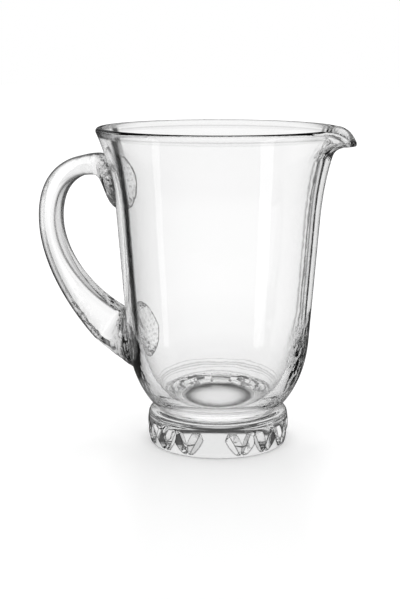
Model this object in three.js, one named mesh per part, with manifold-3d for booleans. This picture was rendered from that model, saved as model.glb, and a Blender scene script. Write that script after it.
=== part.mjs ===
// A footed pitcher of clear glass, built from the three pieces that are fused while the glass is hot:
// a pressed foot with slanted cuts, a blown bowl with a pulled pouring lip, and a drawn strap handle.
// Millimetres. +Z is up and +X is the pouring side. The origin is the centre of the foot's flat underside.

import * as THREE from 'three';
import { mergeVertices } from 'three/addons/utils/BufferGeometryUtils.js';
import Module from 'manifold-3d';

const wasm = await Module();
wasm.setup();

// The seam between the handle and the bowl.
const SEAM_GAP = 0.3;

// The foot.
const FOOT_HEIGHT = 24;
const FOOT_BELLY_RADIUS = 48.2;
const FOOT_TOP_RADIUS = 46.6;
const FOOT_BOTTOM_RADIUS = 45.6;
const SHOULDER_ROUNDING = 5;
const BASE_ROUNDING = 2;

// The slanted cuts round the foot's side, and the two opposite stretches that are left smooth.
const CUTS_PER_HALF = 14;
const CUT_SIDES = 4;
const CUT_DEPTH = 3;
const CUT_WIDTH = 9;
const CUT_POINT_LENGTH = 3;
const CUT_ABOVE_BASE = 0.4;
const CUT_BELOW_SHOULDER = 1.4;
const CUT_SLANT = 0.5;
const CUT_SLANT_VARIATION = 0.1;
const SMOOTH_PANEL_WIDTH = 18;
const SMOOTH_PANEL_TURN = -1.355;

// The bowl, with heights counted from the waist where it sits on the foot.
const WAIST_RADIUS = 41;
const BASE_CURVE_BEND = 17.5;
const BASE_CURVE_HEIGHT = 46;
const BODY_LOW_RADIUS = 60.3;
const BODY_HIGH_RADIUS = 66.5;
const BODY_HEIGHT = 80;
const FLARE_BEND = 34;
const FLARE_HEIGHT = 57.9;
const RIM_RADIUS = 79.7;
const RIM_BEAD_RADIUS = 2.3;
const WALL = 4.2;
const FLOOR_THICKNESS = 2.4;
const FLOOR_RADIUS = 25;
const HOLLOW_CURVE_HEIGHT = 68;
const HOLLOW_CORNER_INSET = 5.2;
const HOLLOW_CORNER_RISE = 9.6;

// The pouring lip that is pulled out of the rim.
const LIP_REACH = 9.2;
const LIP_DIP = 8.4;
const LIP_HALF_ANGLE = 0.46;
const LIP_PULL_DEPTH = 17;
const LIP_SWELL = 0.55;
const LIP_SWELL_SHARPNESS = 6;

// The handle's strap. Its upper end is placed down from the rim, its lower end up from the waist.
const GRIP_REACH = 124;
const GRIP_THICKNESS = 12;
const GRIP_BELOW_RIM = 63.5;
const STRAP_WIDTH = 19.5;
const STRAP_CORNER_RADIUS = 2.6;
const UPPER_END_BELOW_RIM = 26;
const UPPER_END_OUT = 12.5;
const UPPER_END_THICKNESS = 13.5;
const LOWER_END_ABOVE_WAIST = 52.5;
const LOWER_END_OUT = 16;
const LOWER_END_THICKNESS = 26;
const UPPER_ARCH_OUT = 14;
const UPPER_ARCH_DROP = 30;
const LOWER_ARCH_DROP = 25;
const LOWER_ARCH_OUT = 24;
const LOWER_ARCH_RISE = 18.5;

// The handle's two seals on the bowl, and how roundly the strap flares into them.
const UPPER_SEAL_BELOW_RIM = 38;
const UPPER_SEAL_HEIGHT = 36;
const UPPER_SEAL_WIDTH = 39;
const UPPER_FLARE_AT_STRAP = 0.3;
const UPPER_FLARE_AT_WALL = 0.34;
const LOWER_SEAL_ABOVE_WAIST = 44.5;
const LOWER_SEAL_HEIGHT = 45;
const LOWER_SEAL_WIDTH = 52;
const LOWER_FLARE_AT_STRAP = 0.4;
const LOWER_FLARE_AT_WALL = 0.06;

// How finely the round shapes are divided.
const ROUND_SEGMENTS = 64;
const WALL_STEPS = 28;
const BOWL_STEPS = 7;
const FOOT_STEPS = 3;
const STRAP_SIDES = 24;
const CAP_RINGS = 4;
const FLARE_RINGS = 5;
const STRAP_RINGS = 22;
const MERGE_DISTANCE = 1e-4;

const waistHeight = FOOT_HEIGHT;
const baseCurveTop = waistHeight + BASE_CURVE_HEIGHT;
const bodyTop = baseCurveTop + BODY_HEIGHT;
const flareBend = bodyTop + FLARE_BEND;
const rimBeadHeight = bodyTop + FLARE_HEIGHT;
const rimHeight = rimBeadHeight + RIM_BEAD_RADIUS;
const rimBeadCentre = RIM_RADIUS - RIM_BEAD_RADIUS;
const wallSlope = (BODY_HIGH_RADIUS - BODY_LOW_RADIUS) / BODY_HEIGHT;

const upperSeal = {
  middle: rimHeight - UPPER_SEAL_BELOW_RIM,
  height: UPPER_SEAL_HEIGHT,
  width: UPPER_SEAL_WIDTH,
  flareAtStrap: UPPER_FLARE_AT_STRAP,
  flareAtWall: UPPER_FLARE_AT_WALL,
  strapEnd: 0,
  outerFaceUp: 1,
};

const lowerSeal = {
  middle: waistHeight + LOWER_SEAL_ABOVE_WAIST,
  height: LOWER_SEAL_HEIGHT,
  width: LOWER_SEAL_WIDTH,
  flareAtStrap: LOWER_FLARE_AT_STRAP,
  flareAtWall: LOWER_FLARE_AT_WALL,
  strapEnd: 1,
  outerFaceUp: -1,
};

function bare(geometry) {
  // Only the shared corner points are kept, and triangles with no area are dropped.
  const open = geometry.clone();
  open.deleteAttribute('normal');
  open.deleteAttribute('uv');
  const merged = mergeVertices(open, MERGE_DISTANCE);
  const corners = merged.index.array;
  const kept = [];
  for (let i = 0; i < corners.length; i += 3) {
    const triangle = [corners[i], corners[i + 1], corners[i + 2]];
    if (new Set(triangle).size === 3) {
      kept.push(...triangle);
    }
  }
  merged.setIndex(kept);
  merged.computeVertexNormals();
  return merged;
}

function solidOf(geometry) {
  const closed = bare(geometry);
  const vertProperties = new Float32Array(closed.attributes.position.array);
  const triVerts = new Uint32Array(closed.index.array);
  return new wasm.Manifold(new wasm.Mesh({ numProp: 3, vertProperties, triVerts }));
}

function geometryOf(solid) {
  const { vertProperties, triVerts } = solid.getMesh();
  const geometry = new THREE.BufferGeometry();
  geometry.setAttribute('position', new THREE.BufferAttribute(vertProperties, 3));
  geometry.setIndex(new THREE.BufferAttribute(triVerts, 1));
  geometry.computeVertexNormals();
  return geometry;
}

function turned(points) {
  // A body of revolution that stands on Z.
  return new THREE.LatheGeometry(points, ROUND_SEGMENTS).rotateX(Math.PI / 2);
}

function footOutline() {
  // From the flat underside up the barrelled side and over the rounded shoulder to the flat top.
  const sideTop = FOOT_HEIGHT - SHOULDER_ROUNDING;
  const path = new THREE.Path();
  path.moveTo(FOOT_BOTTOM_RADIUS - BASE_ROUNDING, 0);
  path.quadraticCurveTo(FOOT_BOTTOM_RADIUS, 0, FOOT_BOTTOM_RADIUS, BASE_ROUNDING);
  path.quadraticCurveTo(FOOT_BELLY_RADIUS, (BASE_ROUNDING + sideTop) / 2, FOOT_TOP_RADIUS, sideTop);
  path.absarc(FOOT_TOP_RADIUS - SHOULDER_ROUNDING, sideTop, SHOULDER_ROUNDING, 0, Math.PI / 2, false);
  return [new THREE.Vector2(0, 0), ...path.getPoints(FOOT_STEPS), new THREE.Vector2(0, FOOT_HEIGHT)];
}

function cuttingBar(length) {
  // A long bar with a diamond section, drawn out to a point at each end.
  const outline = [
    new THREE.Vector2(0, -length / 2),
    new THREE.Vector2(CUT_DEPTH, CUT_POINT_LENGTH - length / 2),
    new THREE.Vector2(CUT_DEPTH, length / 2 - CUT_POINT_LENGTH),
    new THREE.Vector2(0, length / 2),
  ];
  return new THREE.LatheGeometry(outline, CUT_SIDES).scale(CUT_WIDTH / 2 / CUT_DEPTH, 1, 1);
}

function slantedCut(index) {
  // The cuts lean one way and the other in turn, so they leave triangles with their points up and down.
  const cutTop = FOOT_HEIGHT - SHOULDER_ROUNDING - CUT_BELOW_SHOULDER;
  const sideRadius = (2 * FOOT_BELLY_RADIUS + FOOT_TOP_RADIUS + FOOT_BOTTOM_RADIUS) / 4;
  const smoothArc = SMOOTH_PANEL_WIDTH / sideRadius;
  const step = (Math.PI - smoothArc) / CUTS_PER_HALF;
  const half = Math.floor(index / CUTS_PER_HALF);
  const turn = SMOOTH_PANEL_TURN + (half + 0.5) * smoothArc + (index + 0.5) * step;
  const side = index % 2 === 0 ? 1 : -1;
  const lean = side * CUT_SLANT + CUT_SLANT_VARIATION * Math.sin(index * index);
  const cutter = cuttingBar((cutTop - CUT_ABOVE_BASE) / Math.cos(lean));
  cutter.rotateZ(lean);
  cutter.rotateX(Math.PI / 2);
  cutter.rotateZ(turn + Math.PI / 2);
  cutter.translate(sideRadius * Math.cos(turn), sideRadius * Math.sin(turn), (CUT_ABOVE_BASE + cutTop) / 2);
  return solidOf(cutter);
}

function foot() {
  let solid = solidOf(turned(footOutline()));
  for (let i = 0; i < 2 * CUTS_PER_HALF; i += 1) {
    solid = solid.subtract(slantedCut(i));
  }
  return bare(geometryOf(solid));
}

function straightWallRadius(height) {
  // The straight middle of the bowl's outer wall, carried on past its two ends.
  return BODY_LOW_RADIUS + wallSlope * (height - baseCurveTop);
}

function rimNormal() {
  // The outward direction of the flared wall where it runs into the rim's rounded bead.
  const out = rimBeadCentre - straightWallRadius(flareBend);
  const up = rimBeadHeight - flareBend;
  return new THREE.Vector2(up, -out).normalize();
}

function outerWall() {
  // From the waist up the outside of the bowl to the rim's bead.
  const baseBend = waistHeight + BASE_CURVE_BEND;
  const flareEnd = rimNormal().multiplyScalar(RIM_BEAD_RADIUS);
  flareEnd.add(new THREE.Vector2(rimBeadCentre, rimBeadHeight));
  const path = new THREE.Path();
  path.moveTo(WAIST_RADIUS, waistHeight);
  path.quadraticCurveTo(straightWallRadius(baseBend), baseBend, BODY_LOW_RADIUS, baseCurveTop);
  path.lineTo(BODY_HIGH_RADIUS, bodyTop);
  path.quadraticCurveTo(straightWallRadius(flareBend), flareBend, flareEnd.x, flareEnd.y);
  return path;
}

function bowlOutline() {
  // Up the outside, over the rounded rim, down the inside and round to the flat floor.
  const path = outerWall();
  const beadStart = rimNormal().angle();
  const hollowTop = waistHeight + HOLLOW_CURVE_HEIGHT;
  const floorTop = waistHeight + FLOOR_THICKNESS;
  const hollowCorner = floorTop + HOLLOW_CORNER_RISE;
  const hollowCornerRadius = straightWallRadius(hollowCorner) - HOLLOW_CORNER_INSET;
  path.absarc(rimBeadCentre, rimBeadHeight, RIM_BEAD_RADIUS, beadStart, beadStart + Math.PI, false);
  path.quadraticCurveTo(straightWallRadius(flareBend) - WALL, flareBend, BODY_HIGH_RADIUS - WALL, bodyTop);
  path.lineTo(straightWallRadius(hollowTop) - WALL, hollowTop);
  path.quadraticCurveTo(hollowCornerRadius, hollowCorner, FLOOR_RADIUS, floorTop);
  return [new THREE.Vector2(0, waistHeight), ...path.getPoints(BOWL_STEPS), new THREE.Vector2(0, floorTop)];
}

function pullLip(geometry) {
  // The rim is drawn outwards and down over a narrow arc about +X, most at its edge, and its bead swells.
  const position = geometry.attributes.position;
  const point = new THREE.Vector3();
  for (let i = 0; i < position.count; i += 1) {
    point.fromBufferAttribute(position, i);
    const turn = Math.atan2(point.y, point.x);
    const acrossLip = Math.min(1, Math.abs(turn) / LIP_HALF_ANGLE);
    const upLip = THREE.MathUtils.clamp((point.z - rimBeadHeight) / LIP_PULL_DEPTH + 1, 0, 1);
    const share = 0.5 + 0.5 * Math.cos(Math.PI * acrossLip);
    const pull = share * upLip * upLip;
    const swell = 1 + LIP_SWELL * share * upLip ** LIP_SWELL_SHARPNESS;
    const radius = Math.hypot(point.x, point.y);
    const pulledRadius = rimBeadCentre + (radius - rimBeadCentre) * swell + LIP_REACH * pull;
    const pulledHeight = rimBeadHeight + (point.z - rimBeadHeight) * swell - LIP_DIP * pull * share;
    position.setXYZ(i, pulledRadius * Math.cos(turn), pulledRadius * Math.sin(turn), pulledHeight);
  }
  return geometry;
}

function bowl() {
  return bare(pullLip(turned(bowlOutline())));
}

const wallPoints = outerWall().getPoints(WALL_STEPS);

function wallRadius(height) {
  const above = wallPoints.findIndex((point) => point.y >= height);
  const high = wallPoints[above];
  const low = wallPoints[above - 1];
  return THREE.MathUtils.mapLinear(height, low.y, high.y, low.x, high.x);
}

function strapLine() {
  // The strap's middle line in the plane of radius and height: out from the wall, down the grip and back in.
  const upperHeight = rimHeight - UPPER_END_BELOW_RIM;
  const lowerHeight = waistHeight + LOWER_END_ABOVE_WAIST;
  const start = new THREE.Vector2(wallRadius(upperHeight) + UPPER_END_OUT, upperHeight);
  const grip = new THREE.Vector2(GRIP_REACH - GRIP_THICKNESS / 2, rimHeight - GRIP_BELOW_RIM);
  const end = new THREE.Vector2(wallRadius(lowerHeight) + LOWER_END_OUT, lowerHeight);
  const upperArch = new THREE.CubicBezierCurve(
    start,
    new THREE.Vector2(start.x + UPPER_ARCH_OUT, start.y),
    new THREE.Vector2(grip.x, grip.y + UPPER_ARCH_DROP),
    grip,
  );
  const lowerArch = new THREE.CubicBezierCurve(
    grip,
    new THREE.Vector2(grip.x, grip.y - LOWER_ARCH_DROP),
    new THREE.Vector2(end.x + LOWER_ARCH_OUT, end.y + LOWER_ARCH_RISE),
    end,
  );
  const line = new THREE.CurvePath();
  line.add(upperArch);
  line.add(lowerArch);
  return line;
}

function flatSided(turn, halfThickness, halfWidth) {
  // A point on a bar's section with rounded corners. A third of each quarter turn runs along the outer or
  // inner face, a third round the corner and a third along the side.
  const third = (6 * Math.acos(Math.min(1, Math.abs(Math.cos(turn))))) / Math.PI;
  const [onFace, onCorner, onSide] = [0, 1, 2].map((start) => THREE.MathUtils.clamp(third - start, 0, 1));
  const bend = (onCorner * Math.PI) / 2;
  const out = (halfThickness - STRAP_CORNER_RADIUS) * (1 - onSide) + STRAP_CORNER_RADIUS * Math.cos(bend);
  const side = (halfWidth - STRAP_CORNER_RADIUS) * onFace + STRAP_CORNER_RADIUS * Math.sin(bend);
  return new THREE.Vector2(out * Math.sign(Math.cos(turn)), side * Math.sign(Math.sin(turn)));
}

function strapPoint(line, share, turn) {
  // A point on the strap's skin. Turn 0 is the outer face.
  const centre = line.getPointAt(share);
  const along = line.getTangentAt(share);
  const gripShare = line.curves[0].getLength() / line.getLength();
  const toUpper = Math.max(0, 1 - share / gripShare);
  const toLower = Math.max(0, (share - gripShare) / (1 - gripShare));
  const thickness = GRIP_THICKNESS
    + (UPPER_END_THICKNESS - GRIP_THICKNESS) * toUpper
    + (LOWER_END_THICKNESS - GRIP_THICKNESS) * toLower * toLower;
  const section = flatSided(turn, thickness / 2, STRAP_WIDTH / 2);
  return new THREE.Vector3(-(centre.x - along.y * section.x), section.y, centre.y + along.x * section.x);
}

function sealPoint(seal, spread, turn) {
  // A point on the oval where the strap is fused to the wall, from its middle (spread 0) to its edge (1).
  const height = seal.middle + seal.outerFaceUp * (seal.height / 2) * spread * Math.cos(turn);
  const side = (seal.width / 2) * spread * Math.sin(turn);
  const radius = wallRadius(height) + SEAM_GAP;
  return new THREE.Vector3(-Math.sqrt(radius * radius - side * side), side, height);
}

function flarePoint(line, seal, share, turn) {
  // The strap spreads into its seal: share 0 is the seal's edge, share 1 the strap's end.
  const edge = sealPoint(seal, 1, turn);
  const strapEnd = strapPoint(line, seal.strapEnd, turn);
  const reach = strapEnd.distanceTo(edge);
  const outward = new THREE.Vector3(edge.x, edge.y, 0).setLength(reach * seal.flareAtWall);
  const inward = line.getTangentAt(seal.strapEnd).multiplyScalar(-seal.outerFaceUp);
  inward.setLength(reach * seal.flareAtStrap);
  const curve = new THREE.CubicBezierCurve3(
    edge,
    edge.clone().add(outward),
    new THREE.Vector3(strapEnd.x - inward.x, strapEnd.y, strapEnd.z + inward.y),
    strapEnd,
  );
  return curve.getPoint(share);
}

function sealEndPoint(line, seal, ring, turn) {
  // Rings counted from the middle of the seal: across the oval, then out along the flare.
  if (ring <= CAP_RINGS) {
    return sealPoint(seal, ring / CAP_RINGS, turn);
  }
  return flarePoint(line, seal, (ring - CAP_RINGS) / FLARE_RINGS, turn);
}

function handlePoint(line, ring, turn) {
  // Rings in order: the upper seal and its flare, the strap, the lower flare and its seal.
  const endRings = CAP_RINGS + FLARE_RINGS;
  const strapRing = ring - endRings;
  if (strapRing < 0) {
    return sealEndPoint(line, upperSeal, ring, turn);
  }
  if (strapRing > STRAP_RINGS) {
    return sealEndPoint(line, lowerSeal, 2 * endRings + STRAP_RINGS - ring, turn);
  }
  return strapPoint(line, strapRing / STRAP_RINGS, turn);
}

function handle() {
  // A closed skin, made by carrying a ball's rings along the handle from one seal to the other.
  const line = strapLine();
  const ringCount = 2 * (CAP_RINGS + FLARE_RINGS) + STRAP_RINGS;
  const geometry = new THREE.SphereGeometry(1, STRAP_SIDES, ringCount);
  const { position, uv } = geometry.attributes;
  for (let i = 0; i < position.count; i += 1) {
    const ring = Math.round((1 - uv.getY(i)) * ringCount);
    const point = handlePoint(line, ring, -2 * Math.PI * uv.getX(i));
    position.setXYZ(i, point.x, point.y, point.z);
  }
  return bare(geometry);
}

function piece(name, geometry) {
  const clearGlass = new THREE.MeshStandardMaterial({
    color: 0xf1f4f4,
    roughness: 0.03,
    metalness: 0,
    transparent: true,
    opacity: 0.35,
  });
  const mesh = new THREE.Mesh(geometry, clearGlass);
  mesh.name = name;
  return mesh;
}

const pitcher = new THREE.Group();
pitcher.add(piece('foot', foot()));
pitcher.add(piece('bowl', bowl()));
pitcher.add(piece('handle', handle()));

export default pitcher;
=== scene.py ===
import math

import bpy
import numpy as np
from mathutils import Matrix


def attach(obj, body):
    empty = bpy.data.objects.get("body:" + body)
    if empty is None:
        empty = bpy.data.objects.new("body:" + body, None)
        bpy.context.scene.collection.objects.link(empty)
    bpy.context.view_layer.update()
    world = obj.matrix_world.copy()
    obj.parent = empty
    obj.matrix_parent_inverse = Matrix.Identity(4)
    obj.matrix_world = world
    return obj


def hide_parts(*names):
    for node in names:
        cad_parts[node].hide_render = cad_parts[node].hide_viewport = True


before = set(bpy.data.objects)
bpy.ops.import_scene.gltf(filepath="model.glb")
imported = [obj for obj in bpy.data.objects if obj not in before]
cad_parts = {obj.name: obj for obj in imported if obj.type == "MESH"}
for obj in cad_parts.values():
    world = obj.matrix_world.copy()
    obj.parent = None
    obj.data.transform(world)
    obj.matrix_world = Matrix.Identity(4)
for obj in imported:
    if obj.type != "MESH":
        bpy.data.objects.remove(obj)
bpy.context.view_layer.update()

scene = bpy.context.scene


# The foot is a thick disc of pressed clear glass with a ground flat underside. Its side has V-shaped cuts
# that lean left and right in turn, apart from two smooth stretches on opposite sides. Its flat top is fused
# to the bowl while both are hot.

WAIST_RADIUS = 41.0
WELD_GAP = 0.03
FOOT_HEIGHT = 24.0
FOOT_BELLY_RADIUS = 48.2
FOOT_TOP_RADIUS = 46.6
FOOT_BOTTOM_RADIUS = 45.6
SHOULDER_ROUNDING = 5.0
BASE_ROUNDING = 2.0
BASE_EDGE_STEPS = 8
SIDE_STEPS = 14
SHOULDER_STEPS = 12
TURN_STEPS = 192
CREASE_ANGLE = math.radians(30)
MM_PER_M = 1000


def bent(start, bend, end, steps):
    """Points on a quadratic curve after its start, as (radius, height)."""
    t = (np.arange(1, steps + 1) / steps)[:, None]
    return list((1 - t) ** 2 * np.array(start) + 2 * t * (1 - t) * np.array(bend) + t ** 2 * np.array(end))


def arc(centre, radius, first, last, steps):
    """Points on a circle's arc after its first angle, as (radius, height)."""
    angles = first + (last - first) * np.arange(1, steps + 1) / steps
    return [np.array(centre) + radius * np.array((math.cos(a), math.sin(a))) for a in angles]


def turned(outline):
    """A closed body of revolution. The outline runs from axis to axis, up the outside first."""
    turns = np.arange(TURN_STEPS) * 2 * math.pi / TURN_STEPS
    unit_ring = np.stack([np.cos(turns), np.sin(turns), np.zeros(TURN_STEPS)], 1)
    rings = [radius * unit_ring + (0, 0, height) for radius, height in outline[1:-1]]
    points = np.concatenate([[(0, 0, outline[0][1])], *rings, [(0, 0, outline[-1][1])]])
    last = 1 + (len(rings) - 1) * TURN_STEPS
    faces = []
    for j in range(TURN_STEPS):
        k = (j + 1) % TURN_STEPS
        faces.append((0, 1 + k, 1 + j))
        for low in range(1, last, TURN_STEPS):
            high = low + TURN_STEPS
            faces.append((low + j, low + k, high + k, high + j))
        faces.append((last + j, last + k, len(points) - 1))
    return points, faces


def glass_object(name, points, faces):
    """A mesh object in metres from points in millimetres, smooth but for its real creases."""
    mesh = bpy.data.meshes.new(name)
    mesh.from_pydata((np.asarray(points) / MM_PER_M).tolist(), [], faces)
    mesh.shade_smooth()
    mesh.set_sharp_from_angle(angle=CREASE_ANGLE)
    piece = bpy.data.objects.new(name, mesh)
    scene.collection.objects.link(piece)
    return piece


def mark(piece, name, values, domain="POINT"):
    """One number for each point or face of the mesh, which its glass can read by name."""
    attribute = piece.data.attributes.new(name, "FLOAT", domain)
    attribute.data.foreach_set("value", np.asarray(values, np.float32))


def feed(tree, socket, value):
    """Links another node's output to a socket, or sets the socket to a number, colour or direction."""
    if isinstance(value, bpy.types.NodeSocket):
        tree.links.new(value, socket)
    else:
        socket.default_value = value


def put(tree, node_type, **values):
    """One node, with its inputs fed by name."""
    node = tree.nodes.new(node_type)
    for name, value in values.items():
        feed(tree, node.inputs[name.replace("_", " ")], value)
    return node


def maths(tree, operation, *values):
    """The result of one Math node."""
    node = tree.nodes.new("ShaderNodeMath")
    node.operation = operation
    for socket, value in zip(node.inputs, values):
        feed(tree, socket, value)
    return node.outputs[0]


def dot(tree, first, second):
    """How far one place or direction lies along another."""
    node = tree.nodes.new("ShaderNodeVectorMath")
    node.operation = "DOT_PRODUCT"
    feed(tree, node.inputs[0], first)
    feed(tree, node.inputs[1], second)
    return node.outputs["Value"]


def between(tree, value, start, end, first=0.0, last=1.0):
    """From start to end while the value goes from first to last, and held beyond them."""
    node = put(tree, "ShaderNodeMapRange", Value=value, From_Min=first, From_Max=last,
               To_Min=start, To_Max=end)
    return node.outputs[0]


def none_yet(tree, count):
    """1 where a ray's count of its bends is still at none, and 0 after that."""
    return maths(tree, "LESS_THAN", count, 0.5)


def mixed(tree, share, first, second, blend="MIX"):
    """Two colours mixed by a share of the second."""
    node = tree.nodes.new("ShaderNodeMix")
    node.data_type = "RGBA"
    node.blend_type = blend
    for name, value in (("Factor", share), ("A", first), ("B", second)):
        feed(tree, node.inputs[name], value)
    return node.outputs["Result"]


def grey_ramp(tree, value, levels, change="LINEAR"):
    """A grey by a value from 0 to 1: pairs of that value and the grey's brightness."""
    node = put(tree, "ShaderNodeValToRGB", Fac=value)
    ramp = node.color_ramp
    ramp.interpolation = change
    while len(ramp.elements) < len(levels):
        ramp.elements.new(0.5)
    for element, (position, level) in zip(ramp.elements, levels):
        element.position = position
        element.color = (level, level, level, 1)
    return node.outputs["Color"]


GLASS_IOR = 1.52
GLASS_COLOUR = (0.0, 0.02, 0.02, 1)
GLASS_DENSITY = 0.6
WAVES_PER_METRE = 150.0
WAVE_HEIGHT = 0.003
PLAIN_WAVE = 0.012
RIPPLE_BEND = 0.5
# Painted dark lines along the foot's cut edges: their width, the turn that counts as an edge, their grey and
# samples.
CUT_EDGE_WIDTH = 0.0011
CUT_EDGE_TURN = 0.985
PAINTED_CUT_EDGE_GREY = (0.04, 0.04, 0.04, 1)
CUT_EDGE_SAMPLES = 8


def clear_glass(name, levels, *zones, painted_edge_lines=False):
    """Clear soda-lime glass, faintly wavy, whose colour carries painted shade: it is tinted darker edge on,
    standing in for the dark surroundings that glass shows at its edges. Levels are pairs of angle (0 square
    on,
    1 edge on) and the brightness of that painted tint. A zone is a mark's name, its own levels and the light
    that
    they tint: "in" as it enters the glass, "both" as it leaves too, or "first" on the surface that it meets
    first; each zone paints its dark lines and shade where its mark is. Where the mark "fused" is over 0 the
    glass runs on into its neighbour and has no surface. Sharp edges can also be painted with thin dark
    lines."""
    material = bpy.data.materials.new(name)
    material.use_nodes = True
    tree = material.node_tree
    link = tree.links.new

    def reading(mark_name):
        node = tree.nodes.new("ShaderNodeAttribute")
        node.attribute_name = mark_name
        return node.outputs["Fac"]

    def tint(angle, angle_levels):
        return grey_ramp(tree, angle, [(position, level ** 2) for position, level in angle_levels])

    glass = tree.nodes["Principled BSDF"]
    glass.inputs["Roughness"].default_value = 0.0
    glass.inputs["Transmission Weight"].default_value = 1.0
    fused = maths(tree, "GREATER_THAN", reading("fused"), 0.0)
    link(between(tree, fused, GLASS_IOR, 1.0), glass.inputs["IOR"])

    # Painted shade: the colour darkens as the surface turns edge on, in place of the dark surroundings seen
    # at glass edges.
    facing = put(tree, "ShaderNodeLayerWeight", Blend=0.5)
    path = put(tree, "ShaderNodeLightPath").outputs
    surface = put(tree, "ShaderNodeNewGeometry").outputs
    in_view = between(tree, path["Diffuse Depth"], facing.outputs["Facing"], 0.0)
    both_ways = between(tree, fused, in_view, 0.0)
    entering = between(tree, surface["Backfacing"], both_ways, 0.0)
    met_first = none_yet(tree, path["Transmission Depth"])
    colour = tint(entering, levels)
    for zone, zone_levels, light in zones:
        share = reading(zone)
        if light == "first":
            share = maths(tree, "MULTIPLY", share, met_first)
        colour = mixed(tree, share, colour, tint(both_ways if light == "both" else entering, zone_levels))
    # Painted dark lines: where the rounded normal turns away from the surface's own, the colour is a dark
    # grey.
    if painted_edge_lines:
        rounded = put(tree, "ShaderNodeBevel", Radius=CUT_EDGE_WIDTH)
        rounded.samples = CUT_EDGE_SAMPLES
        turned_away = dot(tree, rounded.outputs["Normal"], surface["Normal"])
        on_edge = maths(tree, "LESS_THAN", turned_away, CUT_EDGE_TURN)
        colour = mixed(tree, maths(tree, "MULTIPLY", on_edge, met_first), colour, PAINTED_CUT_EDGE_GREY)
    link(colour, glass.inputs["Base Color"])

    place = put(tree, "ShaderNodeTexCoord").outputs["Object"]
    wave = put(tree, "ShaderNodeTexNoise", Vector=place, Scale=WAVES_PER_METRE, Detail=1.0).outputs["Fac"]

    def rippled(outside_share):
        """The wavy surface, with the ripples marked for the outside at a share of their strength."""
        outside = between(tree, surface["Backfacing"], reading("outside_ripple_and_painted_shade"), 0.0)
        outside = maths(tree, "MULTIPLY", outside, outside_share)
        strongest = maths(tree, "MAXIMUM", reading("ripple_and_painted_shade"), outside)
        strength = between(tree, strongest, PLAIN_WAVE, 1.0)
        bump = put(tree, "ShaderNodeBump", Strength=strength, Distance=WAVE_HEIGHT, Height=wave)
        return bump.outputs["Normal"]

    link(rippled(RIPPLE_BEND), glass.inputs["Normal"])
    # The fully rippled normal steers only the painted shade's angle, which paints dark blotches; the glass
    # bends light by the weaker one.
    link(rippled(1.0), facing.inputs["Normal"])
    body = put(tree, "ShaderNodeVolumeAbsorption", Color=GLASS_COLOUR, Density=GLASS_DENSITY)
    link(body.outputs["Volume"], tree.nodes["Material Output"].inputs["Volume"])
    return material


side_top = FOOT_HEIGHT - SHOULDER_ROUNDING
foot_top = FOOT_HEIGHT - WELD_GAP
ground_edge = FOOT_BOTTOM_RADIUS - BASE_ROUNDING
side_start, side_end = (FOOT_BOTTOM_RADIUS, BASE_ROUNDING), (FOOT_TOP_RADIUS, side_top)
foot_outline = [np.array((0.0, 0.0)), np.array((ground_edge, 0.0))]
foot_outline += bent((ground_edge, 0.0), (FOOT_BOTTOM_RADIUS, 0.0), side_start, BASE_EDGE_STEPS)
foot_outline += bent(side_start, (FOOT_BELLY_RADIUS, (BASE_ROUNDING + side_top) / 2), side_end, SIDE_STEPS)
shoulder_centre = FOOT_TOP_RADIUS - SHOULDER_ROUNDING, side_top
foot_outline += arc(shoulder_centre, SHOULDER_ROUNDING, 0, math.pi / 2, SHOULDER_STEPS)
foot_outline = [np.array((r, min(z, foot_top))) for r, z in foot_outline]
foot_outline += [np.array((WAIST_RADIUS, foot_top)), np.array((0.0, foot_top))]
foot = glass_object("cut_foot", *turned(foot_outline))

# Painted shade for the foot: its glass darkens edge on, on the cut faces and at its bottom edge, by these
# levels.
foot_edges = ((0.2, 1.0), (0.6, 0.99), (0.74, 0.95), (0.82, 0.6), (0.9, 0.2), (1.0, 0.03))
cut_edges = ((0.0, 0.99), (0.05, 0.85), (0.1, 0.99), (0.17, 0.8), (0.26, 0.99), (0.36, 0.7), (0.46, 0.98),
             (0.58, 0.6), (0.7, 0.95), (0.85, 0.4), (1.0, 0.1))
ring_edges = ((0.0, 0.05), (1.0, 0.03))
foot_glass = clear_glass("pressed_foot_glass", foot_edges, ("cut", cut_edges, "first"),
                         ("ring", ring_edges, "in"), painted_edge_lines=True)

cuts = bpy.data.node_groups.new("Slanted cuts", "GeometryNodeTree")
cuts.is_modifier = True
socket_of = {}
for socket_name, kind, value in (
    ("Geometry", "NodeSocketGeometry", None),
    ("Cuts per half", "NodeSocketInt", 14),
    ("Cut depth", "NodeSocketFloat", 0.003),
    ("Cut width", "NodeSocketFloat", 0.009),
    ("Point length", "NodeSocketFloat", 0.003),
    ("Cut bottom", "NodeSocketFloat", 0.0004),
    ("Cut top", "NodeSocketFloat", 0.0176),
    ("Slant", "NodeSocketFloat", 0.5),
    ("Slant variation", "NodeSocketFloat", 0.1),
    ("Side radius", "NodeSocketFloat", 0.04715),
    ("Smooth width", "NodeSocketFloat", 0.018),
    ("Smooth turn", "NodeSocketFloat", -1.355),
    ("Crease angle", "NodeSocketFloat", 0.3),
    ("Glass", "NodeSocketMaterial", foot_glass),
):
    socket = cuts.interface.new_socket(socket_name, in_out="INPUT", socket_type=kind)
    socket_of[socket_name] = (socket.identifier, value)
cuts.interface.new_socket("Geometry", in_out="OUTPUT", socket_type="NodeSocketGeometry")
size = cuts.nodes.new("NodeGroupInput").outputs
result = cuts.nodes.new("NodeGroupOutput")

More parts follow.
